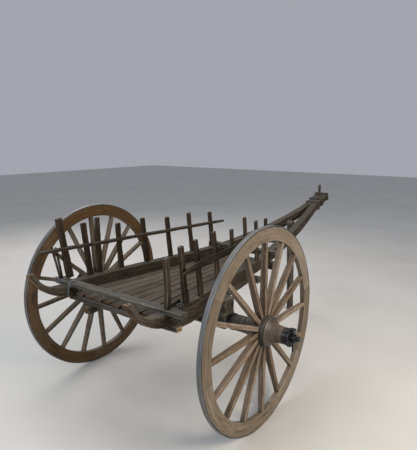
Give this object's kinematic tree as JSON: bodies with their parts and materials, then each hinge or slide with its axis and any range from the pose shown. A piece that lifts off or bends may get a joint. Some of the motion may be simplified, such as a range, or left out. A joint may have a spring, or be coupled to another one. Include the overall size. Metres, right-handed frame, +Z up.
{
  "type": "bullock cart",
  "caption": "Wooden two-wheeled bullock cart with spoked iron-tyred wheels, converging shafts, slatted bed, staked side racks and a hinged front prop.",
  "frame": {"origin": "on the ground, midway between the wheels, under the middle of the cart's whole length, 937.5 mm in front of the axle", "axes": "+X forward to the nose of the shafts, +Y to the cart's left, +Z up"},
  "size_m": [3.525, 2.054, 1.3],
  "materials": {
    "weathered_wood": "dry grey-brown weathered timber",
    "wheel_wood": "dry tan-brown timber with open grain",
    "hub_wood": "dark turned wood, greasy",
    "tyre_iron": "iron tyre worn bright on the tread",
    "dark_iron": "black greasy wrought iron"
  },
  "bodies": {
    "frame": {"axle": "dark_iron", "axle_washers": "dark_iron", "linchpins": "dark_iron", "axle_clips": "dark_iron", "axle_bed": "weathered_wood", "bolster": "weathered_wood", "right_sill": "weathered_wood", "left_sill": "weathered_wood", "right_shaft": "weathered_wood", "left_shaft": "weathered_wood", "rear_upper_crossbar": "weathered_wood", "rear_lower_crossbar": "weathered_wood", "middle_crossbar": "weathered_wood", "front_upper_crossbar": "weathered_wood", "front_lower_crossbar": "weathered_wood", "floor_slats": "weathered_wood", "right_stakes": "weathered_wood", "left_stakes": "weathered_wood", "right_top_rail": "weathered_wood", "left_top_rail": "weathered_wood", "spreader_bar": "weathered_wood", "chock_log": "weathered_wood", "nose_bands": "dark_iron", "yoke_pin": "dark_iron", "prop_pin": "dark_iron", "prop_spacers": "dark_iron"},
    "right_wheel": {"right_tyre": "tyre_iron", "right_felloes": "wheel_wood", "right_spokes": "wheel_wood", "right_hub": "hub_wood", "right_hub_bands": "dark_iron", "right_hub_box": "dark_iron"},
    "left_wheel": {"left_tyre": "tyre_iron", "left_felloes": "wheel_wood", "left_spokes": "wheel_wood", "left_hub": "hub_wood", "left_hub_bands": "dark_iron", "left_hub_box": "dark_iron"},
    "prop": {"prop_leg": "weathered_wood"}
  },
  "joints": [
    {"name": "right_wheel_turn", "type": "hinge", "parent": "frame", "child": "right_wheel", "pos_m": [-0.9375, -0.775, 0.65], "axis": [0, 1, 0], "continuous": true},
    {"name": "left_wheel_turn", "type": "hinge", "parent": "frame", "child": "left_wheel", "pos_m": [-0.9375, 0.775, 0.65], "axis": [0, 1, 0], "continuous": true},
    {"name": "prop_swing", "type": "hinge", "parent": "frame", "child": "prop", "pos_m": [0.9625, 0, 0.946], "axis": [0, 1, 0], "range_deg": [0, 70]}
  ]
}
